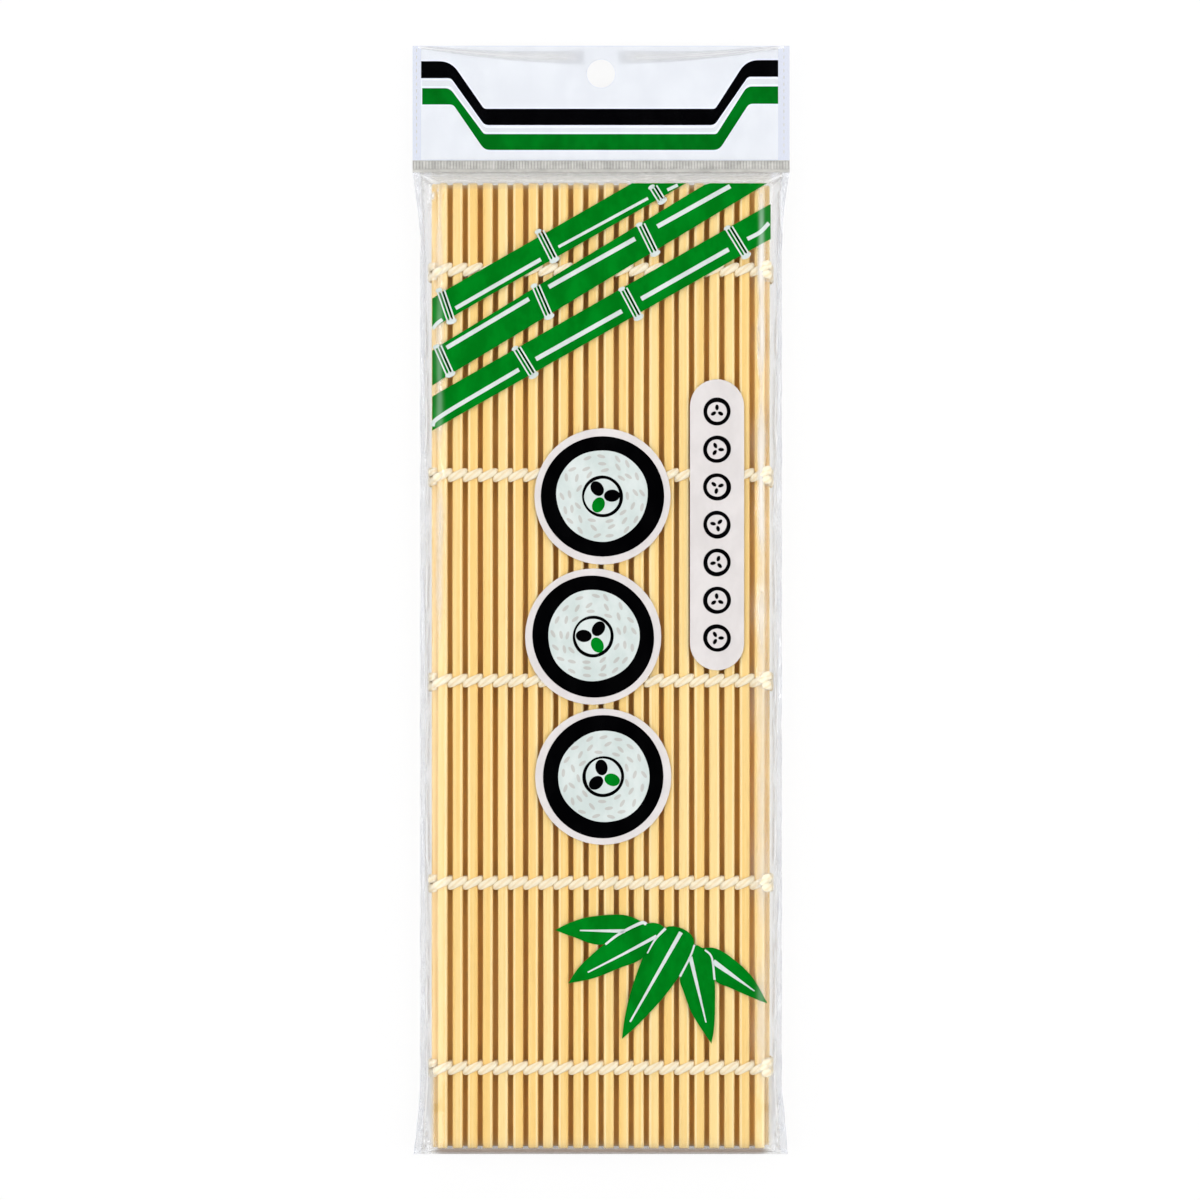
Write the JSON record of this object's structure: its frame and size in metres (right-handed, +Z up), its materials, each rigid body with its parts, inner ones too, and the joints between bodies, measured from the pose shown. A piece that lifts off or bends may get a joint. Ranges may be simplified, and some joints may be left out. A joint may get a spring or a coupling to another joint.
{
  "type": "sushi rolling mat",
  "caption": "Bamboo sushi rolling mat of loose slats tied by twined cotton cord, folded in three in a clear header bag with a hang hole.",
  "frame": {"origin": "middle of the bag's length and width, on the surface that the bag lies on", "axes": "+X across the slats, to the right in the picture; +Y along the slats toward the header; +Z up, out of the printed front"},
  "size_m": [0.106, 0.3116, 0.0132],
  "materials": {
    "bamboo": "satin",
    "cotton_cord": "matte",
    "clear_film": "clear gloss film",
    "sealed_film": "ribbed gloss",
    "header_print": "gloss"
  },
  "bodies": {
    "bottom_panel": {"bottom_slats_1": "bamboo", "bottom_slats_2": "bamboo", "bottom_slats_3": "bamboo", "bottom_slats_4": "bamboo", "bottom_slats_5": "bamboo", "bottom_slats_6": "bamboo", "cord_row_1": "cotton_cord", "cord_row_2": "cotton_cord", "cord_row_3": "cotton_cord", "cord_row_4": "cotton_cord", "cord_row_5": "cotton_cord"},
    "right_fold": {"right_side_slat": "bamboo"},
    "middle_panel": {"middle_slats_1": "bamboo", "middle_slats_2": "bamboo", "middle_slats_3": "bamboo", "middle_slats_4": "bamboo", "middle_slats_5": "bamboo", "middle_slats_6": "bamboo", "middle_slats_7": "bamboo"},
    "left_fold": {"left_side_slat": "bamboo"},
    "top_slat_01": {"top_slat_01": "bamboo"},
    "top_slat_02": {"top_slat_02": "bamboo"},
    "top_slat_03": {"top_slat_03": "bamboo"},
    "top_slat_04": {"top_slat_04": "bamboo"},
    "top_slat_05": {"top_slat_05": "bamboo"},
    "top_slat_06": {"top_slat_06": "bamboo"},
    "top_slat_07": {"top_slat_07": "bamboo"},
    "top_slat_08": {"top_slat_08": "bamboo"},
    "top_slat_09": {"top_slat_09": "bamboo"},
    "top_slat_10": {"top_slat_10": "bamboo"},
    "top_slat_11": {"top_slat_11": "bamboo"},
    "top_slat_12": {"top_slat_12": "bamboo"},
    "top_slat_13": {"top_slat_13": "bamboo"},
    "top_slat_14": {"top_slat_14": "bamboo"},
    "top_slat_15": {"top_slat_15": "bamboo"},
    "top_slat_16": {"top_slat_16": "bamboo"},
    "top_slat_17": {"top_slat_17": "bamboo"},
    "top_slat_18": {"top_slat_18": "bamboo"},
    "top_slat_19": {"top_slat_19": "bamboo"},
    "top_slat_20": {"top_slat_20": "bamboo"},
    "top_slat_21": {"top_slat_21": "bamboo"},
    "top_slat_22": {"top_slat_22": "bamboo"},
    "pouch": {"front_film": "clear_film", "back_film": "clear_film"},
    "header": {"seal_band": "sealed_film", "header_sheet": "header_print"}
  },
  "joints": [
    {"name": "unfold", "type": "hinge", "parent": "bottom_panel", "child": "right_fold", "pos_m": [0.04642, -0.0184, 0.0024], "axis": [0, 1, 0], "range_deg": [0, 90], "deforming": ["cord_row_1", "cord_row_2", "cord_row_3", "cord_row_4", "cord_row_5"]},
    {"name": "right_fold_upper", "type": "hinge", "parent": "right_fold", "child": "middle_panel", "pos_m": [0.04642, -0.0184, 0.0066], "axis": [0, 1, 0], "range_deg": [0, 90]},
    {"name": "left_fold_lower", "type": "hinge", "parent": "middle_panel", "child": "left_fold", "pos_m": [-0.04642, -0.0184, 0.0066], "axis": [0, -1, 0], "range_deg": [0, 90]},
    {"name": "left_fold_upper", "type": "hinge", "parent": "left_fold", "child": "top_slat_01", "pos_m": [-0.04642, -0.0184, 0.0108], "axis": [0, -1, 0], "range_deg": [0, 90]},
    {"name": "roll", "type": "hinge", "parent": "top_slat_01", "child": "top_slat_02", "pos_m": [-0.0422, -0.0184, 0.0108], "axis": [0, -1, 0], "range_deg": [0, 15]},
    {"name": "roll_02", "type": "hinge", "parent": "top_slat_02", "child": "top_slat_03", "pos_m": [-0.03798, -0.0184, 0.0108], "axis": [0, -1, 0], "range_deg": [0, 15]},
    {"name": "roll_03", "type": "hinge", "parent": "top_slat_03", "child": "top_slat_04", "pos_m": [-0.03376, -0.0184, 0.0108], "axis": [0, -1, 0], "range_deg": [0, 15]},
    {"name": "roll_04", "type": "hinge", "parent": "top_slat_04", "child": "top_slat_05", "pos_m": [-0.02954, -0.0184, 0.0108], "axis": [0, -1, 0], "range_deg": [0, 15]},
    {"name": "roll_05", "type": "hinge", "parent": "top_slat_05", "child": "top_slat_06", "pos_m": [-0.02532, -0.0184, 0.0108], "axis": [0, -1, 0], "range_deg": [0, 15]},
    {"name": "roll_06", "type": "hinge", "parent": "top_slat_06", "child": "top_slat_07", "pos_m": [-0.0211, -0.0184, 0.0108], "axis": [0, -1, 0], "range_deg": [0, 15]},
    {"name": "roll_07", "type": "hinge", "parent": "top_slat_07", "child": "top_slat_08", "pos_m": [-0.01688, -0.0184, 0.0108], "axis": [0, -1, 0], "range_deg": [0, 15]},
    {"name": "roll_08", "type": "hinge", "parent": "top_slat_08", "child": "top_slat_09", "pos_m": [-0.01266, -0.0184, 0.0108], "axis": [0, -1, 0], "range_deg": [0, 15]},
    {"name": "roll_09", "type": "hinge", "parent": "top_slat_09", "child": "top_slat_10", "pos_m": [-0.00844, -0.0184, 0.0108], "axis": [0, -1, 0], "range_deg": [0, 15]},
    {"name": "roll_10", "type": "hinge", "parent": "top_slat_10", "child": "top_slat_11", "pos_m": [-0.00422, -0.0184, 0.0108], "axis": [0, -1, 0], "range_deg": [0, 15]},
    {"name": "roll_11", "type": "hinge", "parent": "top_slat_11", "child": "top_slat_12", "pos_m": [0, -0.0184, 0.0108], "axis": [0, -1, 0], "range_deg": [0, 15]},
    {"name": "roll_12", "type": "hinge", "parent": "top_slat_12", "child": "top_slat_13", "pos_m": [0.00422, -0.0184, 0.0108], "axis": [0, -1, 0], "range_deg": [0, 15]},
    {"name": "roll_13", "type": "hinge", "parent": "top_slat_13", "child": "top_slat_14", "pos_m": [0.00844, -0.0184, 0.0108], "axis": [0, -1, 0], "range_deg": [0, 15]},
    {"name": "roll_14", "type": "hinge", "parent": "top_slat_14", "child": "top_slat_15", "pos_m": [0.01266, -0.0184, 0.0108], "axis": [0, -1, 0], "range_deg": [0, 15]},
    {"name": "roll_15", "type": "hinge", "parent": "top_slat_15", "child": "top_slat_16", "pos_m": [0.01688, -0.0184, 0.0108], "axis": [0, -1, 0], "range_deg": [0, 15]},
    {"name": "roll_16", "type": "hinge", "parent": "top_slat_16", "child": "top_slat_17", "pos_m": [0.0211, -0.0184, 0.0108], "axis": [0, -1, 0], "range_deg": [0, 15]},
    {"name": "roll_17", "type": "hinge", "parent": "top_slat_17", "child": "top_slat_18", "pos_m": [0.02532, -0.0184, 0.0108], "axis": [0, -1, 0], "range_deg": [0, 15]},
    {"name": "roll_18", "type": "hinge", "parent": "top_slat_18", "child": "top_slat_19", "pos_m": [0.02954, -0.0184, 0.0108], "axis": [0, -1, 0], "range_deg": [0, 15]},
    {"name": "roll_19", "type": "hinge", "parent": "top_slat_19", "child": "top_slat_20", "pos_m": [0.03376, -0.0184, 0.0108], "axis": [0, -1, 0], "range_deg": [0, 15]},
    {"name": "roll_20", "type": "hinge", "parent": "top_slat_20", "child": "top_slat_21", "pos_m": [0.03798, -0.0184, 0.0108], "axis": [0, -1, 0], "range_deg": [0, 15]},
    {"name": "roll_21", "type": "hinge", "parent": "top_slat_21", "child": "top_slat_22", "pos_m": [0.0422, -0.0184, 0.0108], "axis": [0, -1, 0], "range_deg": [0, 15]},
    {"name": "pouch_slide", "type": "slide", "parent": "bottom_panel", "child": "pouch", "axis": [0, -1, 0], "range_m": [0, 0.29], "deforming": ["front_film", "back_film"]},
    {"name": "header_tear", "type": "slide", "parent": "bottom_panel", "child": "header", "axis": [0, 1, 0], "range_m": [0, 0.02]}
  ],
  "couplings": [
    {"joint": "unfold", "follows": "pouch_slide", "rad_per_m": 5.4165},
    {"joint": "right_fold_upper", "follows": "pouch_slide", "rad_per_m": 5.4165},
    {"joint": "left_fold_lower", "follows": "pouch_slide", "rad_per_m": 5.4165},
    {"joint": "left_fold_upper", "follows": "pouch_slide", "rad_per_m": 5.4165},
    {"joint": "header_tear", "follows": "pouch_slide", "ratio": 0.0689},
    {"joint": "roll_02", "follows": "roll", "ratio": 1},
    {"joint": "roll_03", "follows": "roll", "ratio": 1},
    {"joint": "roll_04", "follows": "roll", "ratio": 1},
    {"joint": "roll_05", "follows": "roll", "ratio": 1},
    {"joint": "roll_06", "follows": "roll", "ratio": 1},
    {"joint": "roll_07", "follows": "roll", "ratio": 1},
    {"joint": "roll_08", "follows": "roll", "ratio": 1},
    {"joint": "roll_09", "follows": "roll", "ratio": 1},
    {"joint": "roll_10", "follows": "roll", "ratio": 1},
    {"joint": "roll_11", "follows": "roll", "ratio": 1},
    {"joint": "roll_12", "follows": "roll", "ratio": 1},
    {"joint": "roll_13", "follows": "roll", "ratio": 1},
    {"joint": "roll_14", "follows": "roll", "ratio": 1},
    {"joint": "roll_15", "follows": "roll", "ratio": 1},
    {"joint": "roll_16", "follows": "roll", "ratio": 1},
    {"joint": "roll_17", "follows": "roll", "ratio": 1},
    {"joint": "roll_18", "follows": "roll", "ratio": 1},
    {"joint": "roll_19", "follows": "roll", "ratio": 1},
    {"joint": "roll_20", "follows": "roll", "ratio": 1},
    {"joint": "roll_21", "follows": "roll", "ratio": 1}
  ]
}
